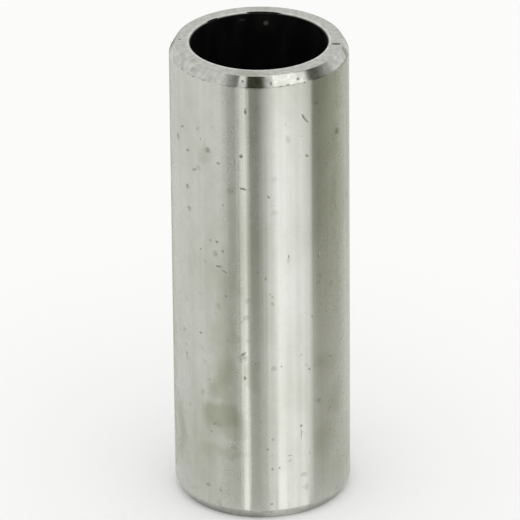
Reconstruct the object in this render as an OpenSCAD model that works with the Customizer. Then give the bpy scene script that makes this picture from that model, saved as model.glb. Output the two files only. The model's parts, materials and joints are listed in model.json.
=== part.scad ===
// Piston pin: a hollow hardened steel pin that joins a piston to its connecting rod.
// It is turned and ground from one piece. Millimetres, with the axis along Z and
// the lower end face on Z = 0, so the pin stands on its end.

/* [Pin] */
// Outside diameter, ground over the whole length
pin_diameter = 20; // [14:0.1:32]
// Length over the two end faces
pin_length = 55; // [30:0.5:90]
// Wall between the bore and the ground outside
wall_thickness = 2.35; // [1.6:0.05:6]

/* [Outer ends] */
// Length of each outer chamfer, along the axis
chamfer_length = 1.2; // [0.6:0.1:2]
// Angle between each outer chamfer and the axis
chamfer_angle = 30; // [15:1:40]
// Radius that runs the chamfer out into the ground outside
run_out_radius = 0.6; // [0.2:0.1:2]
// Radius that breaks the edge between the end face and the chamfer
face_edge_radius = 0.2; // [0.1:0.05:0.4]

/* [Bore mouths] */
// Leg of the 45 degree chamfer at each mouth of the bore
mouth_chamfer = 0.15; // [0.05:0.05:0.4]

/* [Hidden] */
$fn = 128;

pin_radius = pin_diameter / 2;
bore_radius = pin_radius - wall_thickness;
mouth_radius = bore_radius + mouth_chamfer;
face_radius = pin_radius - chamfer_length * tan(chamfer_angle);

// Angles inside the metal at the two edges of an outer chamfer
run_out_corner = 180 - chamfer_angle;
face_corner = 90 + chamfer_angle;

// Directions from those edges into the metal, at the upper end
run_out_inward = 270 - run_out_corner / 2;
face_inward = 180 + face_corner / 2;

// What a blend takes off one sharp corner of the section. Its arc meets both sides
// of the corner in a tangent, and its tip stands clear of the metal by the radius.
module corner_blend(corner, corner_angle, inward, radius) {
    half = corner_angle / 2;
    translate(corner)
        rotate(inward)
            difference() {
                polygon([
                    [-radius, 0],
                    radius / tan(half) * [cos(half), -sin(half)],
                    [radius / sin(half), 0],
                    radius / tan(half) * [cos(half), sin(half)]
                ]);
                translate([radius / sin(half), 0])
                    circle(r = radius);
            }
}

// The two blends of the upper outer chamfer
module upper_blends() {
    corner_blend([pin_radius, pin_length - chamfer_length], run_out_corner, run_out_inward, run_out_radius);
    corner_blend([face_radius, pin_length], face_corner, face_inward, face_edge_radius);
}

// Both ends alike, from the shape at the upper end
module at_both_ends() {
    children();
    translate([0, pin_length])
        mirror([0, 1])
            children();
}

// Half of the pin's section, with the radius along X and the height along Y
module wall_section() {
    difference() {
        polygon([
            [mouth_radius, 0],
            [face_radius, 0],
            [pin_radius, chamfer_length],
            [pin_radius, pin_length - chamfer_length],
            [face_radius, pin_length],
            [mouth_radius, pin_length],
            [bore_radius, pin_length - mouth_chamfer],
            [bore_radius, mouth_chamfer]
        ]);
        at_both_ends()
            upper_blends();
    }
}

// The whole pin, one turned piece
module piston_pin() {
    color("silver")
        rotate_extrude()
            wall_section();
}

piston_pin();
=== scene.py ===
"""A hollow piston pin of ground steel, standing on its end on a pale studio floor.

The pin is one turned piece. Geometry Nodes turn its section round the axis and take the
pits and scratches out of it, and procedural materials give each of its surfaces a finish.
"""

import json
import math
from collections import namedtuple

import bpy
import numpy as np
from mathutils import Matrix, Vector


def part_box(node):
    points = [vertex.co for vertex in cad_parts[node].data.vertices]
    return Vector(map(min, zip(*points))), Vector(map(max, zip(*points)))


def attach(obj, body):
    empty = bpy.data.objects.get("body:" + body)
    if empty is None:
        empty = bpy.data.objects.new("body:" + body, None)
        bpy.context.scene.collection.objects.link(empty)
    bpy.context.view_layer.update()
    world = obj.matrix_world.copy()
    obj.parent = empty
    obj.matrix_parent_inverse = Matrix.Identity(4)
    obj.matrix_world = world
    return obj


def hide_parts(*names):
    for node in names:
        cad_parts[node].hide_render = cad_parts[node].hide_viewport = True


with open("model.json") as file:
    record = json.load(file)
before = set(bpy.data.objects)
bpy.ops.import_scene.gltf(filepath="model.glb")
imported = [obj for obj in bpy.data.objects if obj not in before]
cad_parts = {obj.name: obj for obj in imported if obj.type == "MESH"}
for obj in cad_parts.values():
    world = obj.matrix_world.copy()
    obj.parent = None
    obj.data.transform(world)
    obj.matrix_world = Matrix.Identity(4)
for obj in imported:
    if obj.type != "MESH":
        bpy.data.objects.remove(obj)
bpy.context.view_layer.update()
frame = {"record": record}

MM = 0.001

# Sizes of the pin, in metres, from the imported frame
NODE = "piston_pin"
pin_low, pin_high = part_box(NODE)
mounts = {mount["name"]: mount for mount in frame["record"]["mounts"]}
PIN_RADIUS = mounts["ground_outside"]["dims"]["r_mm"] * MM
BORE_RADIUS = mounts["bore"]["dims"]["r_mm"] * MM
PIN_LENGTH = pin_high.z - pin_low.z
MOUTH_CHAMFER = (PIN_LENGTH - mounts["bore"]["dims"]["length_mm"] * MM) / 2

# Sizes of the ends, as the pin is turned
CHAMFER_LENGTH = 1.2 * MM
CHAMFER_ANGLE = math.radians(30)
RUN_OUT_RADIUS = 0.6 * MM
FACE_EDGE_RADIUS = 0.2 * MM

# Fineness of the turned mesh
TURN_STEPS = 320
ARC_STEPS = 6
ROW_HEIGHT = 1.0 * MM

# Fine pits: how many to a square metre, the largest half width, and how they are strewn
PIT_DENSITY = 70000.0
PIT_RADIUS = 0.19 * MM
PIT_SEED = 7
SPIN_SEED = 1
SIZE_SEED = 2
STRETCH_SEED = 3

# Clusters of pits: cells to a metre, the noise at which a cluster starts and is full, and the
# share of the density between them
PIT_CLUSTERS = 160.0
CLUSTER_EDGES = (0.45, 0.7)
CLUSTER_GAP = 0.15

# Shapes of the pits: half widths as shares of the largest, and lengths and cutter depth as shares
# of the width
PIT_SIZES = (0.3, 1.0)
PIT_STRETCHES = (0.8, 1.8)
PIT_DEPTH = 0.5

# A face takes pits if its plane lies further than this share of the radius from the foot's middle
PITTED_REACH = 0.99

# Cutters: how far one stands out of the metal, as a share of its half depth, how finely the marks
# and the pits are cut, and the value on the faces that they leave
CUTTER_LIFT = 0.65
MARK_FINENESS = 3
PIT_FINENESS = 2
CUT = "cut"

# How far past the bore's radius a face is still black, and past the lip where a chip is cut
BORE_MARGIN = 0.02 * MM
CHIP_REACH = 0.24 * MM

# A face this near to an end's plane is part of the flat ring
FLATNESS = 0.001 * MM

# Finishes of the pin
STEEL = (0.61, 0.614, 0.567, 1)
TURNED_STEEL = (0.57, 0.575, 0.535, 1)
DULL_STEEL = (0.47, 0.475, 0.435, 1)
# Painted highlight for the bore's lip, and painted reflection on the lower chamfer
PAINTED_HIGHLIGHT = (0.66, 0.66, 0.62, 1)
TARNISH = (0.44, 0.452, 0.362, 1)
SMUDGE = (0.33, 0.33, 0.28, 1)
# Grime in the marks near the upper face, and painted shade at the foot
GRIME_AND_PAINTED_SHADE = (0.16, 0.16, 0.13, 1)
SCALE = (0.006, 0.006, 0.005, 1)
DEEP_SCALE = (0.002, 0.002, 0.002, 1)
FLAKED = (0.11, 0.11, 0.10, 1)
DARK_OXIDE = (0.30, 0.30, 0.26, 1)
LIGHT_OXIDE = (0.45, 0.45, 0.40, 1)

# Patterns in the finishes, in cells to a metre along X, Y and Z, and for the rings along the reach
# and the height
MOTTLE_CELLS = (700, 700, 500)
CLOUD_CELLS = (120, 120, 60)
STREAK_CELLS = (1300, 1300, 14)
LINE_CELLS = (40, 40, 7000)
RING_CELLS = (7000, 7000, 1)
END_MOTTLE_CELLS = (650, 650, 650)
END_GRAIN_CELLS = (1600, 1600, 1600)
SCALE_CELLS = (500, 500, 200)
OXIDE_CELLS = (2500, 2500, 2500)

# The range that noise mostly keeps to
NOISE_LOW = 0.3
NOISE_HIGH = 0.7

# Heights of the fine lines, rings and scale, and the share of the lines round the pin in the first
STREAK_DEPTH = 0.018 * MM
LINE_SHARE = 0.012
RING_DEPTH = 0.0006 * MM
SCALE_DEPTH = 0.01 * MM

# Clouds of tarnish on the ground outside: the noise at which they start and are full, their
# largest share, and what full tarnish adds to the roughness
CLOUD_EDGES = (0.42, 0.72)
CLOUD_SHARE = 0.35
TARNISH_ROUGHNESS = 0.07

# Soft smudges: cells to a metre, the chance from which a cell has one, and the widest as a share
# of the cell. Outside, their share of colour grows with the noise of the clouds. Noise of a scale
# moves their outlines about by a step.
Smudges = namedtuple("Smudges", "cells chance widest")

OUTSIDE_SMUDGES = Smudges(620.0, 0.45, 0.36)
OUTSIDE_SMUDGE_EDGES = (0.35, 0.65)
OUTSIDE_SMUDGE_SHARES = (0.2, 0.55)
END_SMUDGES = Smudges(700.0, 0.5, 0.42)
END_SMUDGE_SHARE = 0.5
SMUDGE_EDGE_SCALE = 1100.0
SMUDGE_EDGE_STEP = 1.1 * MM

# The part of a smudge's and of a spot's half width that keeps its full share
SMUDGE_CORE = 0.35
SPOT_CORE = 0.25

# Lighter and darker shades, and roughness, from the lowest noise to the highest
MOTTLE_SHADES = (0.94, 1.03)
STREAK_SHADES = (-0.03, 0.03)
END_SHADES = (0.86, 1.1)
GROUND_ROUGHNESS = (0.25, 0.30)
END_ROUGHNESS = (0.10, 0.17)
SCALE_ROUGHNESS = (0.5, 0.7)
OXIDE_ROUGHNESS = (0.35, 0.5)

# The stretch of the gloss on the turned ends, the quarter turn of its long axis, and the gloss of
# the scale
END_GLOSS_STRETCH = 0.4
QUARTER_TURN = 0.25
SCALE_GLOSS = 0.12

# Dull mottling of the turned ends: the noise at which it starts and is full, and its largest
# share. The upper face is duller all over, from a little below its edge.
MOTTLE_EDGES = (0.35, 0.7)
MOTTLE_SHARE = 0.55
FACE_FADE = (0.1 * MM, 0.02 * MM)
FACE_SHARE = 0.7

# Patches in the scale of the bore: the noise at which they start and are full
PATCH_EDGES = (0.4, 0.75)

# The painted highlight on the lip round the bore's mouth, the black and rough mouth inside it, and the
# painted shade that darkens the foot: the reach or height that each fades over, and its largest share
LIP_RADIUS = BORE_RADIUS + MOUTH_CHAMFER
LIP_HIGHLIGHT_FADE = (0.1 * MM, 0.35 * MM)
LIP_HIGHLIGHT_SHARE = 0.8
MOUTH_FADE = 0.02 * MM
MOUTH_SHARE = 0.97
MOUTH_ROUGHNESS = 0.3
MOUTH_ROUGH_FADE = 0.1 * MM
FOOT_SHADE_FADE = (0.2 * MM, 1.5 * MM)
FOOT_SHADE_SHARE = 0.25

# Grime in the marks near the upper face
MARK_GRIME_FADE = (0.4 * MM, 0.1 * MM)
MARK_GRIME_SHARE = 0.8

# Pale flecks in the bore, near its upper mouth: turn, height, half sizes round and along, and share
Fleck = namedtuple("Fleck", "turn height across along share")

FLECKS = [
    Fleck(174, 53.7, 0.40, 0.40, 0.75),
    Fleck(-166, 54.2, 0.55, 0.16, 0.30),
]

# Dull stains on the upper face, and a painted reflection that lightens the lower chamfer under the
# bright band: the turn of the middle in degrees, its reach and height and the half sizes along X, Y and
# Z in millimetres, and the share
EndSpot = namedtuple("EndSpot", "turn reach height half_size share")

FACE_HEIGHT = PIN_LENGTH / MM
FACE_STAINS = [
    EndSpot(-8.0, 8.8, FACE_HEIGHT, (2.4, 1.3, 0.3), 0.75),
    EndSpot(178.0, 8.6, FACE_HEIGHT, (1.8, 1.0, 0.3), 0.45),
]
PAINTED_CHAMFER_REFLECTION = EndSpot(17.4, 9.7, 0.6, (3.8, 3.0, 2.0), 0.90)

# Stains on the ground outside: the turn from the camera's side in degrees, the height, the half
# sizes round and along in millimetres, and the share of tarnish in the middle. The dark spots are
# smudges with the same values. Noise of a scale moves their outlines about by a step.
Stain = namedtuple("Stain", "turn height across along share")

STAINS = [
    Stain(-25, 24.0, 2.0, 11.0, 0.55),
    Stain(-27, 12.6, 2.9, 2.6, 1.00),
    Stain(-25, 17.0, 2.6, 4.5, 0.60),
    Stain(-26, 8.0, 3.6, 1.2, 0.30),
    Stain(-66, 9.0, 1.6, 5.0, 0.55),
    Stain(-35, 44.5, 1.8, 2.2, 0.35),
    # Painted shade: this broad low stain darkens the left flank towards the bottom
    Stain(-45, 7.0, 7.0, 9.0, 0.30),
    Stain(47, 18.5, 2.2, 2.0, 0.28),
    Stain(55, 13.5, 2.0, 2.6, 0.30),
    Stain(44, 8.5, 2.2, 3.0, 0.28),
    Stain(-3, 18.5, 1.2, 2.4, 0.30),
    Stain(150, 30.0, 2.8, 8.0, 0.45),
    Stain(-140, 18.0, 3.0, 6.0, 0.50),
    Stain(-115, 41.0, 2.4, 4.0, 0.40),
    Stain(105, 24.0, 2.0, 6.0, 0.40),
]
DARK_SPOTS = [
    Stain(58.5, 46.3, 0.75, 0.50, 0.90),
    Stain(-64.5, 45.4, 0.50, 0.45, 0.60),
    Stain(-35.5, 45.4, 0.50, 0.50, 0.60),
    Stain(-52.0, 37.4, 0.60, 0.35, 0.50),
    Stain(-53.5, 40.0, 0.45, 0.45, 0.50),
    Stain(-12.0, 20.6, 0.80, 0.60, 0.50),
]
STAIN_EDGE_SCALE = 230.0
STAIN_EDGE_STEP = 5.0 * MM
DARK_SPOT_EDGE_SCALE = 900.0
DARK_SPOT_EDGE_STEP = 0.8 * MM


# Node helpers

def add_node(tree, kind, **settings):
    """A new node of this kind, with its own settings set by name."""
    node = tree.nodes.new(kind)
    for name, value in settings.items():
        setattr(node, name, value)
    return node


def feed(tree, socket, source):
    """Links a socket to another node's output, or sets it to a plain value."""
    if isinstance(source, bpy.types.NodeSocket):
        tree.links.new(source, socket)
    else:
        socket.default_value = source


def math_node(tree, operation, *sources):
    """The output of a Math node."""
    node = add_node(tree, "ShaderNodeMath", operation=operation)
    for socket, source in zip(node.inputs, sources):
        feed(tree, socket, source)
    return node.outputs[0]


def vector_node(tree, operation, *sources):
    """The vector output of a Vector Math node."""
    node = add_node(tree, "ShaderNodeVectorMath", operation=operation)
    for socket, source in zip(node.inputs, sources):
        feed(tree, socket, source)
    return node.outputs[0]


def towards(turn):
    """The level direction at a turn from the camera's side, in degrees to the camera's right."""
    return Vector((math.sin(math.radians(turn)), -math.cos(math.radians(turn)), 0.0))


# Materials

def new_material(name):
    """An empty node material with its shader, and the Object coordinates it reads."""
    material = bpy.data.materials.new(name)
    material.use_nodes = True
    tree = material.node_tree
    tree.nodes.clear()
    output = add_node(tree, "ShaderNodeOutputMaterial")
    shader = add_node(tree, "ShaderNodeBsdfPrincipled")
    tree.links.new(shader.outputs["BSDF"], output.inputs["Surface"])
    place = add_node(tree, "ShaderNodeTexCoord").outputs["Object"]
    return material, tree, shader, place


def noise(tree, place, scale, detail=2.0, roughness=0.5):
    """Noise from 0 to 1 about a half, with a scale along each axis, in cells to a metre."""
    mapping = add_node(tree, "ShaderNodeMapping")
    feed(tree, mapping.inputs["Vector"], place)
    mapping.inputs["Scale"].default_value = scale
    texture = add_node(tree, "ShaderNodeTexNoise")
    texture.inputs["Scale"].default_value = 1.0
    texture.inputs["Detail"].default_value = detail
    texture.inputs["Roughness"].default_value = roughness
    tree.links.new(mapping.outputs["Vector"], texture.inputs["Vector"])
    return texture.outputs["Fac"]


def spread(tree, value, low, high, to_low, to_high):
    """A value mapped from one range to another, and held inside it."""
    node = add_node(tree, "ShaderNodeMapRange", clamp=True, interpolation_type="SMOOTHSTEP")
    for socket, source in zip(node.inputs, (value, low, high, to_low, to_high)):
        feed(tree, socket, source)
    return node.outputs[0]


def noise_range(tree, value, low, high):
    """Noise spread from a low value to a high one."""
    return spread(tree, value, NOISE_LOW, NOISE_HIGH, low, high)


def mix_colour(tree, share, first, second, blend="MIX"):
    """Two colours mixed by a share."""
    node = add_node(tree, "ShaderNodeMix", data_type="RGBA", blend_type=blend)
    feed(tree, node.inputs[0], share)
    feed(tree, node.inputs[6], first)
    feed(tree, node.inputs[7], second)
    return node.outputs[2]


def shaded(tree, colour, shade):
    """A colour made lighter or darker by a shade."""
    grey = add_node(tree, "ShaderNodeCombineColor")
    for socket in grey.inputs:
        feed(tree, socket, shade)
    return mix_colour(tree, 1.0, colour, grey.outputs[0], blend="MULTIPLY")


def height_and_reach(tree, place):
    """The height of a place, and its reach from the pin's axis."""
    parts = add_node(tree, "ShaderNodeSeparateXYZ")
    feed(tree, parts.inputs[0], place)
    level = add_node(tree, "ShaderNodeCombineXYZ")
    feed(tree, level.inputs["X"], parts.outputs["X"])
    feed(tree, level.inputs["Y"], parts.outputs["Y"])
    reach = add_node(tree, "ShaderNodeVectorMath", operation="LENGTH")
    feed(tree, reach.inputs[0], level.outputs[0])
    return parts.outputs["Z"], reach.outputs["Value"]


def meridian_tangent(tree, shader):
    """Turns the long axis of the gloss across the grinding lines, which run round the pin."""
    tangent = add_node(tree, "ShaderNodeTangent", direction_type="RADIAL", axis="Z")
    tree.links.new(tangent.outputs["Tangent"], shader.inputs["Tangent"])
    shader.inputs["Anisotropic Rotation"].default_value = QUARTER_TURN


def surface_place(tree, place):
    """The outside rolled out flat: X runs round it from the camera's side, and Y up it."""
    parts = add_node(tree, "ShaderNodeSeparateXYZ")
    feed(tree, parts.inputs[0], place)
    nearer = math_node(tree, "MULTIPLY", parts.outputs["Y"], -1.0)
    turn = math_node(tree, "ARCTAN2", parts.outputs["X"], nearer)
    flat = add_node(tree, "ShaderNodeCombineXYZ")
    feed(tree, flat.inputs["X"], math_node(tree, "MULTIPLY", turn, PIN_RADIUS))
    feed(tree, flat.inputs["Y"], parts.outputs["Z"])
    return flat.outputs[0]


def ragged(tree, place, follows, scale, step):
    """A place moved about by noise, so that what is drawn on it gets an uneven outline."""
    texture = add_node(tree, "ShaderNodeTexNoise")
    feed(tree, texture.inputs["Vector"], follows)
    texture.inputs["Scale"].default_value = scale
    texture.inputs["Detail"].default_value = 3.0
    centred = vector_node(tree, "SUBTRACT", texture.outputs["Color"], (0.5, 0.5, 0.5))
    return vector_node(tree, "ADD", place, vector_node(tree, "MULTIPLY", centred, (step, step, step)))


def soft_spot(tree, place, centre, half_size):
    """A share that falls from 1 in the middle of a spot to 0 at its rim."""
    offset = vector_node(tree, "SUBTRACT", place, centre)
    reach = add_node(tree, "ShaderNodeVectorMath", operation="LENGTH")
    feed(tree, reach.inputs[0], vector_node(tree, "DIVIDE", offset, half_size))
    return spread(tree, reach.outputs["Value"], SPOT_CORE, 1.0, 1.0, 0.0)


def end_spot_share(tree, place, spot):
    """The share of a soft spot at an end of the pin."""
    middle = towards(spot.turn) * spot.reach * MM + Vector((0.0, 0.0, spot.height * MM))
    half_size = [size * MM for size in spot.half_size]
    return math_node(tree, "MULTIPLY", soft_spot(tree, place, middle, half_size), spot.share)


def stain_share(tree, place, stains, scale, step):
    """The share from a list of stains, whose outlines noise of a scale moves about by a step."""
    flat = ragged(tree, surface_place(tree, place), place, scale, step)
    total = 0.0
    for stain in stains:
        centre = (math.radians(stain.turn) * PIN_RADIUS, stain.height * MM, 0.0)
        spot = soft_spot(tree, flat, centre, (stain.across * MM, stain.along * MM, 1.0))
        total = math_node(tree, "ADD", total, math_node(tree, "MULTIPLY", spot, stain.share))
    return total


def smudge_share(tree, place, smudges):
    """Scattered soft smudges: one to a cell where chance allows, up to a share of the cell in width."""
    cells = add_node(tree, "ShaderNodeTexVoronoi", feature="F1")
    feed(tree, cells.inputs["Vector"], ragged(tree, place, place, SMUDGE_EDGE_SCALE, SMUDGE_EDGE_STEP))
    cells.inputs["Scale"].default_value = smudges.cells
    chance = add_node(tree, "ShaderNodeSeparateColor")
    feed(tree, chance.inputs[0], cells.outputs["Color"])
    width = spread(tree, chance.outputs["Red"], smudges.chance, 1.0, 0.0, smudges.widest)
    core = math_node(tree, "MULTIPLY", width, SMUDGE_CORE)
    return spread(tree, cells.outputs["Distance"], core, width, 1.0, 0.0)


def bump(tree, shader, height, distance):
    """Raises the surface by a height, in metres for each unit of it."""
    node = add_node(tree, "ShaderNodeBump")
    node.inputs["Strength"].default_value = 1.0
    node.inputs["Distance"].default_value = distance
    feed(tree, node.inputs["Height"], height)
    tree.links.new(node.outputs["Normal"], shader.inputs["Normal"])


def ground_outside_material():
    """Ground steel with a dull grey-green tarnish, soft smudges and fine lines round and along it."""
    material, tree, shader, place = new_material("ground_outside")
    mottle = noise(tree, place, MOTTLE_CELLS, detail=3.0)
    cloud = noise(tree, place, CLOUD_CELLS, detail=4.0, roughness=0.55)
    streak = noise(tree, place, STREAK_CELLS)
    line = noise(tree, place, LINE_CELLS)

    clouds = spread(tree, cloud, *CLOUD_EDGES, 0.0, CLOUD_SHARE)
    # The stains include painted shade that darkens the left flank towards the bottom
    stains = stain_share(tree, place, STAINS, STAIN_EDGE_SCALE, STAIN_EDGE_STEP)
    tarnish = math_node(tree, "MINIMUM", math_node(tree, "ADD", clouds, stains), 1.0)
    colour = mix_colour(tree, tarnish, STEEL, TARNISH)
    strength = spread(tree, cloud, *OUTSIDE_SMUDGE_EDGES, *OUTSIDE_SMUDGE_SHARES)
    smudges = math_node(tree, "MULTIPLY", smudge_share(tree, place, OUTSIDE_SMUDGES), strength)
    colour = mix_colour(tree, smudges, colour, SMUDGE)
    dark_spots = stain_share(tree, place, DARK_SPOTS, DARK_SPOT_EDGE_SCALE, DARK_SPOT_EDGE_STEP)
    colour = mix_colour(tree, dark_spots, colour, SMUDGE)
    mottling = noise_range(tree, mottle, *MOTTLE_SHADES)
    shade = math_node(tree, "ADD", mottling, noise_range(tree, streak, *STREAK_SHADES))
    feed(tree, shader.inputs["Base Color"], shaded(tree, colour, shade))

    dulling = math_node(tree, "MULTIPLY", tarnish, TARNISH_ROUGHNESS)
    roughness = math_node(tree, "ADD", noise_range(tree, mottle, *GROUND_ROUGHNESS), dulling)
    feed(tree, shader.inputs["Roughness"], roughness)
    shader.inputs["Metallic"].default_value = 1.0
    shader.inputs["Anisotropic"].default_value = 1.0
    meridian_tangent(tree, shader)
    height = math_node(tree, "ADD", streak, math_node(tree, "MULTIPLY", line, LINE_SHARE))
    bump(tree, shader, height, STREAK_DEPTH)
    return material


def turned_end_material():
    """End faces and outer chamfers: bright turned steel, fine rings, dull spots, painted highlights and
    shade.
    """
    material, tree, shader, place = new_material("turned_end")
    height, reach = height_and_reach(tree, place)
    section = add_node(tree, "ShaderNodeCombineXYZ")
    feed(tree, section.inputs["X"], reach)
    feed(tree, section.inputs["Y"], height)
    ring = noise(tree, section.outputs[0], RING_CELLS)
    mottle = noise(tree, place, END_MOTTLE_CELLS, detail=3.0, roughness=0.6)
    grain = noise(tree, place, END_GRAIN_CELLS, detail=3.0)

    dull_mottle = spread(tree, mottle, *MOTTLE_EDGES, 0.0, MOTTLE_SHARE)
    colour = mix_colour(tree, dull_mottle, TURNED_STEEL, DULL_STEEL)
    face_start, face_full = (PIN_LENGTH - below for below in FACE_FADE)
    dull_face = spread(tree, height, face_start, face_full, 0.0, FACE_SHARE)
    colour = mix_colour(tree, dull_face, colour, DULL_STEEL)
    smudges = math_node(tree, "MULTIPLY", smudge_share(tree, place, END_SMUDGES), END_SMUDGE_SHARE)
    colour = mix_colour(tree, smudges, colour, SMUDGE)
    for stain in FACE_STAINS:
        colour = mix_colour(tree, end_spot_share(tree, place, stain), colour, SMUDGE)
    # Painted highlight: the lip round the bore's mouth painted lighter
    highlight_full, highlight_end = (LIP_RADIUS + past for past in LIP_HIGHLIGHT_FADE)
    lip = spread(tree, reach, highlight_full, highlight_end, LIP_HIGHLIGHT_SHARE, 0.0)
    colour = mix_colour(tree, lip, colour, PAINTED_HIGHLIGHT)
    mouth = spread(tree, reach, BORE_RADIUS + MOUTH_FADE, LIP_RADIUS + MOUTH_FADE, MOUTH_SHARE, 0.0)
    colour = mix_colour(tree, mouth, colour, SCALE)
    # Painted shade: the lower chamfer darker towards the floor, where the contact shadow falls
    foot = spread(tree, height, *FOOT_SHADE_FADE, FOOT_SHADE_SHARE, 0.0)
    colour = mix_colour(tree, foot, colour, GRIME_AND_PAINTED_SHADE)
    # Painted reflection: the lower chamfer lighter under the bright band
    colour = mix_colour(tree, end_spot_share(tree, place, PAINTED_CHAMFER_REFLECTION), colour, PAINTED_HIGHLIGHT)
    feed(tree, shader.inputs["Base Color"], shaded(tree, colour, noise_range(tree, grain, *END_SHADES)))

    dulling = spread(tree, reach, LIP_RADIUS, LIP_RADIUS + MOUTH_ROUGH_FADE, MOUTH_ROUGHNESS, 0.0)
    roughness = math_node(tree, "ADD", noise_range(tree, mottle, *END_ROUGHNESS), dulling)
    feed(tree, shader.inputs["Roughness"], roughness)
    shader.inputs["Metallic"].default_value = 1.0
    shader.inputs["Anisotropic"].default_value = END_GLOSS_STRETCH
    meridian_tangent(tree, shader)
    bump(tree, shader, ring, RING_DEPTH)
    return material


def bore_scale_material():
    """The black scale that heat treatment leaves in the bore, with pale flecks where it has flaked."""
    material, tree, shader, place = new_material("bore_scale")
    patch = noise(tree, place, SCALE_CELLS, detail=4.0)
    colour = mix_colour(tree, spread(tree, patch, *PATCH_EDGES, 0.0, 1.0), DEEP_SCALE, SCALE)
    for fleck in FLECKS:
        out = towards(fleck.turn) * BORE_RADIUS
        half_size = (fleck.across * MM, fleck.across * MM, fleck.along * MM)
        spot = soft_spot(tree, place, (out.x, out.y, fleck.height * MM), half_size)
        colour = mix_colour(tree, math_node(tree, "MULTIPLY", spot, fleck.share), colour, FLAKED)
    feed(tree, shader.inputs["Base Color"], colour)
    feed(tree, shader.inputs["Roughness"], noise_range(tree, patch, *SCALE_ROUGHNESS))
    shader.inputs["Specular IOR Level"].default_value = SCALE_GLOSS
    bump(tree, shader, patch, SCALE_DEPTH)
    return material


def pit_material():
    """The dull oxide in the pits and scratches, with grime in those near the upper face."""
    material, tree, shader, place = new_material("pit_oxide")
    patch = noise(tree, place, OXIDE_CELLS)
    colour = mix_colour(tree, noise_range(tree, patch, 0.0, 1.0), DARK_OXIDE, LIGHT_OXIDE)
    height, _ = height_and_reach(tree, place)
    grime_start, grime_full = (PIN_LENGTH - below for below in MARK_GRIME_FADE)
    grime = spread(tree, height, grime_start, grime_full, 0.0, MARK_GRIME_SHARE)
    colour = mix_colour(tree, grime, colour, GRIME_AND_PAINTED_SHADE)
    feed(tree, shader.inputs["Base Color"], colour)
    feed(tree, shader.inputs["Roughness"], noise_range(tree, patch, *OXIDE_ROUGHNESS))
    shader.inputs["Metallic"].default_value = 1.0
    return material


GROUND_OUTSIDE = ground_outside_material()
TURNED_END = turned_end_material()
BORE_SCALE = bore_scale_material()
PIT_OXIDE = pit_material()


# Marks on the pin

# One nick, pit or scratch: its turn from the camera's side in degrees, its height on the side or
# its reach on the upper face, its half sizes round and along, its cutter's half depth, and its lean
# in degrees. The face marks are in the upper face, and the chips at the bore's upper mouth.
Mark = namedtuple("Mark", "turn place across along deep lean")

SIDE_MARKS = [
    Mark(-65, 45.5, 0.24, 0.32, 0.14, 0),
    Mark(-59, 47.0, 0.44, 0.14, 0.10, 32),
    Mark(-53, 44.5, 0.34, 0.16, 0.10, 20),
    Mark(-35, 45.5, 0.28, 0.32, 0.12, 20),
    Mark(-47, 42.5, 0.54, 0.13, 0.10, 24),
    Mark(-54, 40.0, 0.24, 0.30, 0.12, 0),
    Mark(-52, 37.5, 0.28, 0.22, 0.12, 15),
    Mark(-42, 33.0, 0.14, 0.15, 0.08, 0),
    Mark(-34, 34.5, 0.13, 0.22, 0.08, 0),
    Mark(-29, 34.5, 0.20, 0.16, 0.10, 0),
    Mark(-25, 33.5, 0.14, 0.18, 0.08, 0),
    Mark(-28, 31.5, 0.44, 0.13, 0.10, 6),
    Mark(-24, 31.0, 0.44, 0.10, 0.10, -26),
    Mark(-23, 28.0, 0.18, 0.16, 0.08, 0),
    Mark(-11, 54.4, 0.16, 0.18, 0.14, 0),
    Mark(-12, 45.5, 0.24, 0.24, 0.12, 0),
    Mark(-11, 41.5, 0.46, 0.14, 0.12, -12),
    Mark(-9, 51.0, 0.16, 0.40, 0.10, 0),
    Mark(30, 49.5, 0.16, 0.85, 0.12, 35),
    Mark(58, 46.5, 0.34, 0.26, 0.08, 0),
    Mark(18, 33.0, 0.10, 0.20, 0.06, 0),
    Mark(-43, 22.5, 0.20, 0.14, 0.08, 0),
    Mark(-57, 19.0, 0.16, 0.22, 0.10, 0),
    Mark(-12, 21.0, 0.46, 0.14, 0.07, 35),
    Mark(-13.5, 20.2, 0.07, 0.40, 0.06, 20),
    Mark(-11, 18.0, 0.16, 0.22, 0.08, 0),
    Mark(-4, 20.0, 0.22, 0.16, 0.08, 0),
    Mark(-36, 17.0, 0.14, 0.16, 0.08, 0),
    Mark(50, 19.0, 0.48, 0.10, 0.08, -30),
    Mark(50, 12.5, 0.14, 0.22, 0.08, 0),
    Mark(26, 11.5, 0.16, 0.18, 0.10, 0),
    Mark(26, 10.5, 0.05, 0.70, 0.06, 0),
    Mark(-35, 10.5, 0.14, 0.20, 0.10, 0),
    Mark(18, 8.0, 0.36, 0.07, 0.06, 0),
    Mark(6, 6.5, 0.18, 0.18, 0.08, 0),
    Mark(-38, 3.5, 0.32, 0.22, 0.12, 0),
    Mark(-59, 54.0, 0.16, 0.14, 0.10, 0),
    Mark(-47, 53.8, 0.18, 0.14, 0.10, 0),
    Mark(-38, 53.8, 0.16, 0.16, 0.10, 0),
    Mark(7.4, 54.2, 0.12, 0.22, 0.10, 0),
    Mark(13.5, 53.85, 0.24, 0.12, 0.10, 0),
    Mark(18.4, 53.9, 0.18, 0.13, 0.10, 0),
    Mark(22, 53.8, 0.16, 0.12, 0.08, 0),
    Mark(26, 54.3, 0.20, 0.16, 0.12, 0),
    Mark(30, 53.8, 0.20, 0.14, 0.10, 0),
]
FACE_MARKS = [
    Mark(83, 8.58, 0.34, 0.52, 0.24, 0),
]
CHIPS = [
    Mark(176, 7.15, 2.40, 0.78, 0.90, 0),
    Mark(-138, 7.25, 1.40, 0.64, 0.80, 0),
]


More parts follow.
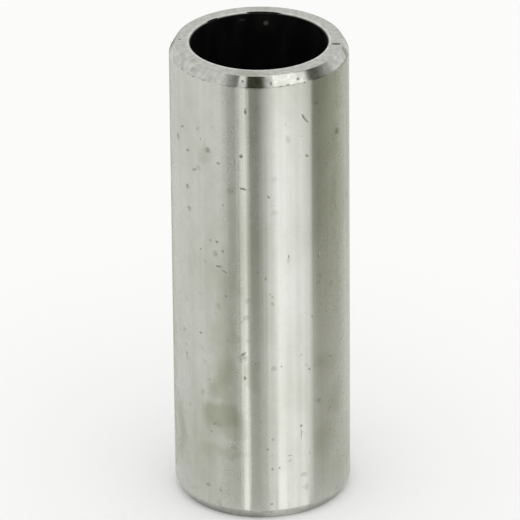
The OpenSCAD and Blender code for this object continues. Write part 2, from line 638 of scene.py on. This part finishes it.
def side_place(height):
    """Radius and slope of the outside at a height, with the chamfers but without their blends."""
    over = max(CHAMFER_LENGTH - height, height - (PIN_LENGTH - CHAMFER_LENGTH), 0.0)
    slope = CHAMFER_ANGLE if over else 0.0
    return PIN_RADIUS - over * math.tan(CHAMFER_ANGLE), math.copysign(slope, height - PIN_LENGTH / 2)


def mark_frames():
    """Each mark's centre, its outward direction, the direction along it, and its half sizes."""
    upright = Vector((0.0, 0.0, 1.0))
    for mark in SIDE_MARKS:
        radius, slope = side_place(mark.place * MM)
        level = towards(mark.turn)
        outward = level * math.cos(slope) + upright * math.sin(slope)
        along = upright * math.cos(slope) - level * math.sin(slope)
        along = Matrix.Rotation(math.radians(mark.lean), 3, outward) @ along
        centre = level * radius + upright * mark.place * MM
        yield centre, outward, along, Vector((mark.across, mark.along, mark.deep)) * MM
    for mark in FACE_MARKS + CHIPS:
        level = towards(mark.turn)
        centre = level * mark.place * MM + upright * PIN_LENGTH
        yield centre, upright, level, Vector((mark.across, mark.along, mark.deep)) * MM


def mark_points():
    """A mesh of bare points, one for each mark, with the mark's directions and sizes on them."""
    rows = list(mark_frames())
    mesh = bpy.data.meshes.new("mark_points")
    mesh.from_pydata([row[0] for row in rows], [], [])
    for column, name in enumerate(("outward", "along", "half_size"), start=1):
        values = mesh.attributes.new(name, "FLOAT_VECTOR", "POINT")
        values.data.foreach_set("vector", np.array([row[column] for row in rows]).ravel())
    return mesh


# The turned pin

def new_geometry_tree(name, inputs):
    """A geometry tree with these named inputs, and its input and output nodes."""
    tree = bpy.data.node_groups.new(name, "GeometryNodeTree")
    tree.interface.new_socket("Geometry", in_out="INPUT", socket_type="NodeSocketGeometry")
    for socket_name, kind in inputs:
        tree.interface.new_socket(socket_name, in_out="INPUT", socket_type=kind)
    tree.interface.new_socket("Geometry", in_out="OUTPUT", socket_type="NodeSocketGeometry")
    given = add_node(tree, "NodeGroupInput").outputs
    result = add_node(tree, "NodeGroupOutput").inputs[0]
    return tree, given, result


def pick_by_index(tree, values):
    """The value that belongs to each point's index."""
    node = add_node(tree, "GeometryNodeIndexSwitch", data_type="FLOAT")
    while len(node.index_switch_items) < len(values):
        node.index_switch_items.new()
    feed(tree, node.inputs[0], add_node(tree, "GeometryNodeInputIndex").outputs[0])
    for socket, value in zip(node.inputs[1:], values):
        feed(tree, socket, value)
    return node.outputs[0]


SIZE_INPUTS = [
    ("Pin radius", "NodeSocketFloat"),
    ("Pin length", "NodeSocketFloat"),
    ("Bore radius", "NodeSocketFloat"),
    ("Mouth chamfer", "NodeSocketFloat"),
    ("Chamfer length", "NodeSocketFloat"),
    ("Chamfer angle", "NodeSocketFloat"),
    ("Run-out radius", "NodeSocketFloat"),
    ("Face edge radius", "NodeSocketFloat"),
    ("Turn steps", "NodeSocketInt"),
    ("Arc steps", "NodeSocketInt"),
    ("Row height", "NodeSocketFloat"),
    ("Pit density", "NodeSocketFloat"),
    ("Pit radius", "NodeSocketFloat"),
    ("Pit seed", "NodeSocketInt"),
]


def section_curve(tree, given):
    """Half of the pin's section as a closed curve, with its rounded edges and its rows."""
    radius, length, bore = given["Pin radius"], given["Pin length"], given["Bore radius"]
    mouth, chamfer = given["Mouth chamfer"], given["Chamfer length"]
    slope = math_node(tree, "TANGENT", given["Chamfer angle"])
    chamfer_depth = math_node(tree, "MULTIPLY", chamfer, slope)
    face_radius = math_node(tree, "SUBTRACT", radius, chamfer_depth)
    mouth_radius = math_node(tree, "ADD", bore, mouth)
    upper_run_out = math_node(tree, "SUBTRACT", length, chamfer)
    upper_mouth = math_node(tree, "SUBTRACT", length, mouth)
    radii = [mouth_radius, face_radius, radius, radius, face_radius, mouth_radius, bore, bore]
    heights = [0.0, 0.0, chamfer, upper_run_out, length, length, upper_mouth, mouth]
    run_out, face_edge = given["Run-out radius"], given["Face edge radius"]
    edge_radii = [0.0, face_edge, run_out, run_out, face_edge, 0.0, 0.0, 0.0]

    corners = add_node(tree, "GeometryNodeMeshLine")
    corners.inputs["Count"].default_value = len(radii)
    curve = add_node(tree, "GeometryNodeMeshToCurve")
    feed(tree, curve.inputs["Mesh"], corners.outputs[0])
    across = math_node(tree, "SUBTRACT", pick_by_index(tree, radii), radius)
    down = math_node(tree, "MULTIPLY", pick_by_index(tree, heights), -1.0)
    point = add_node(tree, "ShaderNodeCombineXYZ")
    feed(tree, point.inputs["X"], across)
    feed(tree, point.inputs["Y"], down)
    placed = add_node(tree, "GeometryNodeSetPosition")
    feed(tree, placed.inputs["Geometry"], curve.outputs[0])
    feed(tree, placed.inputs["Position"], point.outputs[0])
    closed = add_node(tree, "GeometryNodeSetSplineCyclic")
    closed.inputs["Cyclic"].default_value = True
    feed(tree, closed.inputs["Geometry"], placed.outputs[0])
    rounded = add_node(tree, "GeometryNodeFilletCurve", mode="POLY")
    feed(tree, rounded.inputs["Curve"], closed.outputs[0])
    feed(tree, rounded.inputs["Count"], given["Arc steps"])
    feed(tree, rounded.inputs["Radius"], pick_by_index(tree, edge_radii))

    here = add_node(tree, "GeometryNodeInputPosition").outputs[0]
    after = add_node(tree, "GeometryNodeFieldAtIndex", data_type="FLOAT_VECTOR")
    feed(tree, after.inputs["Value"], here)
    index = add_node(tree, "GeometryNodeInputIndex").outputs[0]
    feed(tree, after.inputs["Index"], math_node(tree, "ADD", index, 1.0))
    reach = add_node(tree, "ShaderNodeVectorMath", operation="DISTANCE")
    feed(tree, reach.inputs[0], here)
    feed(tree, reach.inputs[1], after.outputs[0])
    rows = math_node(tree, "DIVIDE", reach.outputs["Value"], given["Row height"])
    ruled = add_node(tree, "GeometryNodeSubdivideCurve")
    feed(tree, ruled.inputs["Curve"], rounded.outputs[0])
    feed(tree, ruled.inputs["Cuts"], math_node(tree, "FLOOR", rows))
    return ruled.outputs[0]


def turned_body(tree, given):
    """The section turned round the axis, as a closed mesh."""
    circle = add_node(tree, "GeometryNodeCurvePrimitiveCircle", mode="RADIUS")
    feed(tree, circle.inputs["Resolution"], given["Turn steps"])
    feed(tree, circle.inputs["Radius"], given["Pin radius"])
    upright = add_node(tree, "GeometryNodeSetCurveNormal", mode="Z_UP")
    feed(tree, upright.inputs["Curve"], circle.outputs[0])
    body = add_node(tree, "GeometryNodeCurveToMesh")
    feed(tree, body.inputs["Curve"], upright.outputs[0])
    feed(tree, body.inputs["Profile Curve"], section_curve(tree, given))
    outward = add_node(tree, "GeometryNodeFlipFaces")
    feed(tree, outward.inputs["Mesh"], body.outputs[0])
    return outward.outputs[0]


def zone_materials(tree, given, body):
    """The ground outside, the turned ends, the bore and the cut marks, each with its own material."""
    height, reach = height_and_reach(tree, add_node(tree, "GeometryNodeInputPosition").outputs[0])
    middle = math_node(tree, "MULTIPLY", given["Pin length"], 0.5)
    from_middle = math_node(tree, "ABSOLUTE", math_node(tree, "SUBTRACT", height, middle))
    end_start = math_node(tree, "SUBTRACT", middle, given["Chamfer length"])
    at_end = math_node(tree, "GREATER_THAN", from_middle, end_start)
    bore_end = math_node(tree, "ADD", given["Bore radius"], BORE_MARGIN)
    in_bore = math_node(tree, "LESS_THAN", reach, bore_end)
    cut = named_value(tree, CUT, "FLOAT")
    lip = math_node(tree, "ADD", given["Bore radius"], given["Mouth chamfer"])
    by_mouth = math_node(tree, "LESS_THAN", reach, math_node(tree, "ADD", lip, CHIP_REACH))
    chipped = math_node(tree, "MULTIPLY", cut, by_mouth)
    zones = [
        (GROUND_OUTSIDE, None),
        (TURNED_END, at_end),
        (BORE_SCALE, in_bore),
        (PIT_OXIDE, cut),
        (BORE_SCALE, chipped),
    ]
    for material, selection in zones:
        worn = add_node(tree, "GeometryNodeSetMaterial")
        feed(tree, worn.inputs["Geometry"], body)
        if selection is not None:
            feed(tree, worn.inputs["Selection"], selection)
        worn.inputs["Material"].default_value = material
        body = worn.outputs[0]
    return body


def cutter(tree, fineness):
    """The round bit of unit radius that every pit, nick and scratch is cut with."""
    ball = add_node(tree, "GeometryNodeMeshIcoSphere")
    ball.inputs["Radius"].default_value = 1.0
    ball.inputs["Subdivisions"].default_value = fineness
    marked = add_node(tree, "GeometryNodeStoreNamedAttribute", data_type="FLOAT", domain="FACE")
    feed(tree, marked.inputs["Geometry"], ball.outputs[0])
    marked.inputs["Name"].default_value = CUT
    marked.inputs["Value"].default_value = 1.0
    return marked.outputs[0]


def named_value(tree, name, kind):
    """A value that the points or the faces carry."""
    node = add_node(tree, "GeometryNodeInputNamedAttribute", data_type=kind)
    node.inputs["Name"].default_value = name
    return node.outputs[0]


def lifted_cutters(tree, points, outward, rotation, half_size, fineness):
    """Cutters on the points, lifted and widened so that each cuts its half sizes into the surface."""
    deep = add_node(tree, "ShaderNodeSeparateXYZ")
    feed(tree, deep.inputs[0], half_size)
    widening = 1.0 / math.sqrt(1.0 - CUTTER_LIFT ** 2)
    cutter_size = vector_node(tree, "MULTIPLY", half_size, (widening, widening, 1.0))
    lift = add_node(tree, "ShaderNodeVectorMath", operation="SCALE")
    feed(tree, lift.inputs[0], outward)
    feed(tree, lift.inputs["Scale"], math_node(tree, "MULTIPLY", deep.outputs["Z"], CUTTER_LIFT))
    raised = add_node(tree, "GeometryNodeSetPosition")
    feed(tree, raised.inputs["Geometry"], points)
    feed(tree, raised.inputs["Offset"], lift.outputs[0])
    placed = add_node(tree, "GeometryNodeInstanceOnPoints")
    feed(tree, placed.inputs["Points"], raised.outputs[0])
    feed(tree, placed.inputs["Instance"], cutter(tree, fineness))
    feed(tree, placed.inputs["Rotation"], rotation)
    feed(tree, placed.inputs["Scale"], cutter_size)
    return placed.outputs[0]


def mark_cutters(tree, points):
    """Cutters for the marks that are placed one by one."""
    rotation = add_node(tree, "FunctionNodeAxesToRotation", primary_axis="Z", secondary_axis="Y")
    outward = named_value(tree, "outward", "FLOAT_VECTOR")
    feed(tree, rotation.inputs[0], outward)
    feed(tree, rotation.inputs[1], named_value(tree, "along", "FLOAT_VECTOR"))
    half_size = named_value(tree, "half_size", "FLOAT_VECTOR")
    return lifted_cutters(tree, points, outward, rotation.outputs[0], half_size, MARK_FINENESS)


def pitted_faces(tree, given):
    """Which faces of the turned body take pits: those of the outside and of the upper end."""
    plane = add_node(tree, "ShaderNodeVectorMath", operation="DOT_PRODUCT")
    feed(tree, plane.inputs[0], add_node(tree, "GeometryNodeInputPosition").outputs[0])
    feed(tree, plane.inputs[1], add_node(tree, "GeometryNodeInputNormal").outputs[0])
    least = math_node(tree, "MULTIPLY", given["Pin radius"], PITTED_REACH)
    return math_node(tree, "GREATER_THAN", plane.outputs["Value"], least)


def random_number(tree, low, high, seed):
    """A random number for each point."""
    node = add_node(tree, "FunctionNodeRandomValue", data_type="FLOAT")
    feed(tree, node.inputs[2], low)
    feed(tree, node.inputs[3], high)
    feed(tree, node.inputs["Seed"], seed)
    return node.outputs[1]


def pit_cutters(tree, given, body):
    """Cutters for the fine pits, which lie in loose clusters."""
    cluster = add_node(tree, "ShaderNodeTexNoise")
    cluster.inputs["Scale"].default_value = PIT_CLUSTERS
    dense = add_node(tree, "ShaderNodeMapRange")
    for socket, source in zip(dense.inputs, (cluster.outputs[0], *CLUSTER_EDGES, CLUSTER_GAP, 1.0)):
        feed(tree, socket, source)
    density = math_node(tree, "MULTIPLY", given["Pit density"], dense.outputs[0])
    points = add_node(tree, "GeometryNodeDistributePointsOnFaces")
    feed(tree, points.inputs["Mesh"], body)
    feed(tree, points.inputs["Selection"], pitted_faces(tree, given))
    feed(tree, points.inputs["Density"], density)
    feed(tree, points.inputs["Seed"], given["Pit seed"])
    spin = add_node(tree, "FunctionNodeAxisAngleToRotation")
    spin.inputs["Axis"].default_value = (0.0, 0.0, 1.0)
    feed(tree, spin.inputs["Angle"], random_number(tree, 0.0, math.tau, SPIN_SEED))
    rotation = add_node(tree, "FunctionNodeRotateRotation", rotation_space="LOCAL")
    feed(tree, rotation.inputs[0], points.outputs["Rotation"])
    feed(tree, rotation.inputs[1], spin.outputs[0])
    width = math_node(tree, "MULTIPLY", given["Pit radius"], random_number(tree, *PIT_SIZES, SIZE_SEED))
    stretch = random_number(tree, *PIT_STRETCHES, STRETCH_SEED)
    half_size = add_node(tree, "ShaderNodeCombineXYZ")
    feed(tree, half_size.inputs["X"], width)
    feed(tree, half_size.inputs["Y"], math_node(tree, "MULTIPLY", width, stretch))
    feed(tree, half_size.inputs["Z"], math_node(tree, "MULTIPLY", width, PIT_DEPTH))
    pits, outward = points.outputs["Points"], points.outputs["Normal"]
    return lifted_cutters(tree, pits, outward, rotation.outputs[0], half_size.outputs[0], PIT_FINENESS)


def pin_tree():
    """The geometry tree that makes the pin."""
    tree, given, result = new_geometry_tree("turned_pin", SIZE_INPUTS)
    body = turned_body(tree, given)
    cut = add_node(tree, "GeometryNodeMeshBoolean", operation="DIFFERENCE", solver="MANIFOLD")
    feed(tree, cut.inputs["Mesh 1"], body)
    feed(tree, cut.inputs["Mesh 2"], mark_cutters(tree, given["Geometry"]))
    feed(tree, cut.inputs["Mesh 2"], pit_cutters(tree, given, body))
    whole = add_node(tree, "GeometryNodeRealizeInstances")
    feed(tree, whole.inputs["Geometry"], cut.outputs[0])
    tree.links.new(zone_materials(tree, given, whole.outputs[0]), result)
    return tree


def plain_mesh_from(tree, name, start, values):
    """Runs a geometry tree on a starting mesh and keeps its result as a plain mesh object."""
    piece = bpy.data.objects.new(name, start)
    bpy.context.scene.collection.objects.link(piece)
    modifier = piece.modifiers.new("turning", "NODES")
    modifier.node_group = tree
    for item in tree.interface.items_tree:
        if item.in_out == "INPUT" and item.name in values:
            modifier[item.identifier] = values[item.name]
    depsgraph = bpy.context.evaluated_depsgraph_get()
    made = bpy.data.meshes.new_from_object(piece.evaluated_get(depsgraph))
    piece.modifiers.remove(modifier)
    piece.data = made
    made.name = name
    return piece


def corner_places(mesh):
    """For each corner of each face: its vertex, its place, and the middle and number of its face."""
    vertex = np.zeros(len(mesh.loops), int)
    mesh.loops.foreach_get("vertex_index", vertex)
    place = np.zeros(len(mesh.vertices) * 3)
    mesh.vertices.foreach_get("co", place)
    centre = np.zeros(len(mesh.polygons) * 3)
    mesh.polygons.foreach_get("center", centre)
    sides = np.zeros(len(mesh.polygons), int)
    mesh.polygons.foreach_get("loop_total", sides)
    face = np.repeat(np.arange(len(mesh.polygons)), sides)
    return vertex, place.reshape(-1, 3)[vertex], centre.reshape(-1, 3)[face], face


def section_normals(corner, centre):
    """The exact normal of the turned section at each corner, by the zone that its face lies in."""
    middle = PIN_LENGTH / 2
    half = np.where(centre[:, 2] > middle, 1.0, -1.0)
    reach, height = np.hypot(corner[:, 0], corner[:, 1]), half * (corner[:, 2] - middle)
    face_reach, face_height = np.hypot(centre[:, 0], centre[:, 1]), half * (centre[:, 2] - middle)

    run_out_step = RUN_OUT_RADIUS * math.tan(CHAMFER_ANGLE / 2)
    run_out_start = middle - CHAMFER_LENGTH - run_out_step
    run_out_end = middle - CHAMFER_LENGTH + run_out_step * math.cos(CHAMFER_ANGLE)
    face_turn = math.pi / 2 - CHAMFER_ANGLE
    face_edge_step = FACE_EDGE_RADIUS * math.tan(face_turn / 2)
    face_edge_start = middle - face_edge_step * math.cos(CHAMFER_ANGLE)
    flat_end = PIN_RADIUS - CHAMFER_LENGTH * math.tan(CHAMFER_ANGLE) - face_edge_step

    flat = (face_height > middle - FLATNESS) & (face_reach < flat_end)
    mouth = (face_reach < LIP_RADIUS) & (face_height > middle - MOUTH_CHAMFER) & ~flat
    bore = (face_reach < LIP_RADIUS) & ~(mouth | flat)
    outside = ~(flat | mouth | bore)
    run_out = outside & (face_height > run_out_start) & (face_height < run_out_end)
    chamfer = outside & (face_height >= run_out_end) & (face_height < face_edge_start)
    face_edge = outside & (face_height >= face_edge_start)

    out, up = np.ones(len(corner)), np.zeros(len(corner))
    out[flat], up[flat] = 0.0, 1.0
    out[mouth], up[mouth] = -1.0, 1.0
    out[bore] = -1.0
    out[run_out] = (reach - (PIN_RADIUS - RUN_OUT_RADIUS))[run_out]
    up[run_out] = (height - run_out_start)[run_out]
    out[chamfer], up[chamfer] = math.cos(CHAMFER_ANGLE), math.sin(CHAMFER_ANGLE)
    out[face_edge] = (reach - flat_end)[face_edge]
    up[face_edge] = (height - (middle - FACE_EDGE_RADIUS))[face_edge]
    return np.column_stack((out * corner[:, 0] / reach, out * corner[:, 1] / reach, up * half))


def cut_faces(mesh):
    """Which faces a cutter has left."""
    cut = np.zeros(len(mesh.polygons))
    mesh.attributes[CUT].data.foreach_get("value", cut)
    return cut > 0.5


def corner_normals(mesh):
    """Exact normals on the turned faces, and smooth ones inside each pit with a crisp rim."""
    vertex, corner, centre, face = corner_places(mesh)
    normals = section_normals(corner, centre)
    in_pit = cut_faces(mesh)[face]
    face_normal = np.zeros(len(mesh.polygons) * 3)
    mesh.polygons.foreach_get("normal", face_normal)
    face_normal = face_normal.reshape(-1, 3)[face]
    summed = np.zeros((len(mesh.vertices), 3))
    np.add.at(summed, vertex[in_pit], face_normal[in_pit])
    normals[in_pit] = summed[vertex[in_pit]]
    return normals / np.linalg.norm(normals, axis=1, keepdims=True)


def make_pin():
    """The finished pin, standing for its CAD node."""
    values = {
        "Pin radius": PIN_RADIUS,
        "Pin length": PIN_LENGTH,
        "Bore radius": BORE_RADIUS,
        "Mouth chamfer": MOUTH_CHAMFER,
        "Chamfer length": CHAMFER_LENGTH,
        "Chamfer angle": CHAMFER_ANGLE,
        "Run-out radius": RUN_OUT_RADIUS,
        "Face edge radius": FACE_EDGE_RADIUS,
        "Turn steps": TURN_STEPS,
        "Arc steps": ARC_STEPS,
        "Row height": ROW_HEIGHT,
        "Pit density": PIT_DENSITY,
        "Pit radius": PIT_RADIUS,
        "Pit seed": PIT_SEED,
    }
    piece = plain_mesh_from(pin_tree(), "pin", mark_points(), values)
    mesh = piece.data
    mesh.polygons.foreach_set("use_smooth", [True] * len(mesh.polygons))
    mesh.normals_split_custom_set(corner_normals(mesh))
    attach(piece, "root")
    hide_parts(NODE)


# The stage

# The floor: its colour, half of its width, and how far it lies below the pin
FLOOR_PAPER = (0.965, 0.965, 0.963, 1)
FLOOR_HALF = 6.0
FLOOR_DROP = 0.02 * MM

# The surround: its tint and its level
SURROUND = (1.0, 1.0, 0.992, 1)
SURROUND_LEVEL = 0.93


def stage_piece(name, mesh):
    """A piece of the stage from its mesh."""
    piece = bpy.data.objects.new(name, mesh)
    bpy.context.scene.collection.objects.link(piece)
    return piece


def floor_material():
    """Pale matt paper without any gloss, so that it mirrors none of the cards."""
    material, _, shader, _ = new_material("floor_paper")
    shader.inputs["Base Color"].default_value = FLOOR_PAPER
    shader.inputs["Roughness"].default_value = 1.0
    shader.inputs["Specular IOR Level"].default_value = 0.0
    return material


def make_floor():
    """A wide pale floor just under the pin."""
    sides = [(-1, -1), (1, -1), (1, 1), (-1, 1)]
    corners = [(x * FLOOR_HALF, y * FLOOR_HALF, -FLOOR_DROP) for x, y in sides]
    mesh = bpy.data.meshes.new("floor")
    mesh.from_pydata(corners, [], [(0, 1, 2, 3)])
    mesh.materials.append(floor_material())
    stage_piece("floor", mesh)


# A bent card between two rings round the pin that only the gloss sees. Its turns are those of the
# pin's side that mirror it to the camera. It sends out an even light over a share of what lies
# behind it, and may fade out at either side and where it starts.
Card = namedtuple(
    "Card",
    "name turns rings light cover soft_left soft_right soft_start",
    defaults=(0.0, 0.0, 0.0),
)

# Reaches from the axis and heights at which the cards start and end
CARD_START = 13.0 * MM
LIGHT_START = 10.4 * MM
FOOT_END = 100.0 * MM
WALL_REACH = 130.0 * MM
BACK_REACH = 300.0 * MM
CARD_FLOOR = 0.3 * MM
KERB_TOP = 50.0 * MM
BACK_WALL_TOP = 100.0 * MM
UPPER_FOOT = 105.0 * MM
WALL_TOP = 240.0 * MM

# Rings: the reach and the height of a card's start and end
FLOOR_RINGS = ((CARD_START, CARD_FLOOR), (WALL_REACH, CARD_FLOOR))
LIGHT_RINGS = ((LIGHT_START, CARD_FLOOR), (WALL_REACH, CARD_FLOOR))
FOOT_RINGS = ((CARD_START, CARD_FLOOR), (FOOT_END, CARD_FLOOR))
KERB_RINGS = ((WALL_REACH, CARD_FLOOR), (WALL_REACH, KERB_TOP))
BACK_RINGS = ((CARD_START, CARD_FLOOR), (BACK_REACH, CARD_FLOOR))
BACK_WALL_RINGS = ((BACK_REACH, CARD_FLOOR), (BACK_REACH, BACK_WALL_TOP))
WALL_RINGS = ((WALL_REACH, CARD_FLOOR), (WALL_REACH, WALL_TOP))
UPPER_RINGS = ((WALL_REACH, UPPER_FOOT), (WALL_REACH, WALL_TOP))

# Light of the cards
OLIVE = (0.30, 0.31, 0.212)
BLACK = (0.05, 0.055, 0.035)
WINDOW = (1.68, 1.67, 1.72)
SIDE_LIGHT = (1.46, 1.46, 1.49)
MEDIUM_LIGHT = (1.14, 1.14, 1.12)
STRIP_LIGHT = (1.76, 1.77, 1.73)
UPPER_LIGHT = (1.5, 1.5, 1.47)

# The least share of a card's width that a side fades over, the share of its length that its start
# fades over, the number of flat pieces in its bend, and the step that keeps cards out of one plane
SHARP_EDGE = 0.02
START_FADE = 0.8
CARD_STEPS = 24
CARD_LIFT = 0.01 * MM

CARDS = [
    Card("front_floor", (-8.4, 2.4), FLOOR_RINGS, OLIVE, 0.68, soft_right=0.5, soft_start=0.5),
    Card("front_wall", (-9.1, 6.8), WALL_RINGS, BLACK, 1.0, soft_right=0.35),
    Card(
        "right_floor", (33.3, 72.0), FLOOR_RINGS, OLIVE, 0.94,
        soft_left=0.15, soft_right=0.38, soft_start=0.67,
    ),
    Card("right_edge", (64.0, 90.0), FLOOR_RINGS, OLIVE, 0.25, soft_left=0.3, soft_start=0.4),
    Card("right_kerb", (36.4, 80.0), KERB_RINGS, OLIVE, 0.75, soft_right=0.2),
    Card("right_wall", (32.2, 58.3), WALL_RINGS, BLACK, 0.9, soft_left=0.1, soft_right=0.75),
    Card("left_floor", (-31.5, -12.5), FLOOR_RINGS, OLIVE, 0.36, soft_left=0.9, soft_start=0.2),
    Card("left_foot", (-80.0, -13.0), FOOT_RINGS, OLIVE, 0.10, soft_left=0.1),
    Card("left_wall", (-27.5, -13.9), WALL_RINGS, BLACK, 0.78, soft_left=0.85),
    Card("back_floor", (-88.0, -73.0), BACK_RINGS, OLIVE, 1.0, soft_right=0.85),
    Card("back_wall", (-88.0, -73.0), BACK_WALL_RINGS, OLIVE, 1.0, soft_right=0.85),
    Card("back_strip", (-92.0, -88.0), BACK_RINGS, STRIP_LIGHT, 1.0),
    Card("back_side", (-108.0, -92.0), BACK_RINGS, OLIVE, 0.8, soft_left=0.7),
    Card("back_side_wall", (-108.0, -92.0), BACK_WALL_RINGS, OLIVE, 0.8, soft_left=0.7),
    Card("strip_floor", (-12.5, -8.4), LIGHT_RINGS, STRIP_LIGHT, 1.0, soft_start=0.30),
    Card("medium_floor", (3.6, 8.8), LIGHT_RINGS, MEDIUM_LIGHT, 1.0, soft_left=0.5),
    Card("window_floor", (8.8, 17.0), LIGHT_RINGS, WINDOW, 1.0, soft_left=0.3, soft_start=0.10),
    Card("side_floor", (17.0, 32.0), LIGHT_RINGS, SIDE_LIGHT, 1.0, soft_start=0.08),
    Card("gap_floor", (22.7, 26.1), LIGHT_RINGS, OLIVE, 0.17, soft_left=0.4, soft_right=0.4),
    Card("upper_strip", (-13.9, -9.1), UPPER_RINGS, MEDIUM_LIGHT, 1.0),
    Card("upper_window", (9.0, 32.5), UPPER_RINGS, UPPER_LIGHT, 1.0),
]


def card_material(card):
    """The finish of a card: an even light, with its sides and its start faded out."""
    material, tree, shader, _ = new_material(card.name)
    shader.inputs["Base Color"].default_value = (0.0, 0.0, 0.0, 1)
    shader.inputs["Specular IOR Level"].default_value = 0.0
    shader.inputs["Emission Color"].default_value = (*card.light, 1)
    shader.inputs["Emission Strength"].default_value = 1.0
    across = add_node(tree, "ShaderNodeSeparateXYZ")
    feed(tree, across.inputs[0], add_node(tree, "ShaderNodeTexCoord").outputs["UV"])
    from_left = spread(tree, across.outputs["X"], 0.0, max(card.soft_left, SHARP_EDGE), 0.0, card.cover)
    from_right = spread(tree, across.outputs["X"], 1.0 - max(card.soft_right, SHARP_EDGE), 1.0, 1.0, 0.0)
    from_start = spread(tree, across.outputs["Y"], 0.0, START_FADE, 1.0 - card.soft_start, 1.0)
    between = math_node(tree, "MULTIPLY", from_left, from_right)
    feed(tree, shader.inputs["Alpha"], math_node(tree, "MULTIPLY", between, from_start))
    material.cycles.emission_sampling = "NONE"
    return material


def gloss_card(card, lift):
    """A card, lifted a little so that no two lie in one plane."""
    row = CARD_STEPS + 1
    from_turn, to_turn = card.turns
    corners = []
    for reach, high in card.rings:
        mirrored = 2.0 - PIN_RADIUS / reach
        for step in range(row):
            turn = from_turn + (to_turn - from_turn) * step / CARD_STEPS
            corners.append(towards(turn * mirrored) * (reach + lift) + Vector((0.0, 0.0, high + lift)))
    faces = [(step, step + 1, row + step + 1, row + step) for step in range(CARD_STEPS)]
    mesh = bpy.data.meshes.new(card.name)
    mesh.from_pydata(corners, [], faces)
    uv_map = mesh.uv_layers.new(name="UVMap")
    for loop in mesh.loops:
        ring, step = divmod(loop.vertex_index, row)
        uv_map.data[loop.index].uv = (step / CARD_STEPS, ring)
    mesh.materials.append(card_material(card))
    piece = stage_piece(card.name, mesh)
    piece.visible_camera = False
    piece.visible_diffuse = False
    piece.visible_transmission = False
    piece.visible_shadow = False


def soft_box(name, turn, rise, reach, side, level):
    """A square lamp up at a turn and a rise from the pin, which faces the pin's foot."""
    lamp = bpy.data.lights.new(name, "AREA")
    lamp.shape = "SQUARE"
    lamp.size = side
    lamp.energy = level * math.pi * side * side
    piece = bpy.data.objects.new(name, lamp)
    rise = math.radians(rise)
    out = towards(turn) * math.cos(rise) + Vector((0.0, 0.0, math.sin(rise)))
    piece.location = out * reach
    piece.rotation_euler = out.to_track_quat("Z", "Y").to_euler()
    piece.visible_camera = False
    bpy.context.scene.collection.objects.link(piece)


def make_world():
    """An even pale surround."""
    world = bpy.data.worlds.new("pale_tent")
    world.use_nodes = True
    background = world.node_tree.nodes["Background"]
    background.inputs["Color"].default_value = SURROUND
    background.inputs["Strength"].default_value = SURROUND_LEVEL
    bpy.context.scene.world = world


def make_stage():
    """The floor, the surround, the key lamp and the cards."""
    make_floor()
    make_world()
    soft_box("key_box", turn=15, rise=68, reach=1.0, side=0.8, level=0.55)
    for number, card in enumerate(CARDS):
        gloss_card(card, number * CARD_LIFT)


# The camera

# The camera's rise, its reach from the pin's middle and its roll, the focal length and the picture's
# width in pixels, the pixels that the aim is moved by to the right and up, the sensor's width in
# millimetres, and the nearest and furthest that is seen
CAMERA_RISE = math.radians(26.28)
CAMERA_REACH = 762.0 * MM
CAMERA_ROLL = math.radians(0.53)
FOCAL_PIXELS = 6767.0
PICTURE_PIXELS = 520.0
AIM_PIXELS = (-0.9, 3.1)
SENSOR_WIDTH = 36.0
CLIP_START = 0.05
CLIP_END = 20.0


def make_camera():
    """A long lens in front of the pin, looking down on it."""
    camera = bpy.data.cameras.new("camera")
    camera.sensor_width = SENSOR_WIDTH
    camera.lens = FOCAL_PIXELS * SENSOR_WIDTH / PICTURE_PIXELS
    camera.clip_start = CLIP_START
    camera.clip_end = CLIP_END
    piece = bpy.data.objects.new("camera", camera)
    bpy.context.scene.collection.objects.link(piece)
    back = Vector((0.0, -math.cos(CAMERA_RISE), math.sin(CAMERA_RISE)))
    middle = Vector((0.0, 0.0, PIN_LENGTH / 2))
    look = (-back).to_track_quat("-Z", "Y").to_matrix()
    aim_step = look @ Vector((*AIM_PIXELS, 0.0)) * (CAMERA_REACH / FOCAL_PIXELS)
    place = Matrix.Translation(middle + back * CAMERA_REACH + aim_step)
    roll = Matrix.Rotation(-CAMERA_ROLL, 3, "Z")
    piece.matrix_world = place @ (look @ roll).to_4x4()
    bpy.context.scene.camera = piece


make_camera()
make_pin()
make_stage()
bpy.context.scene.view_settings.view_transform = "Standard"
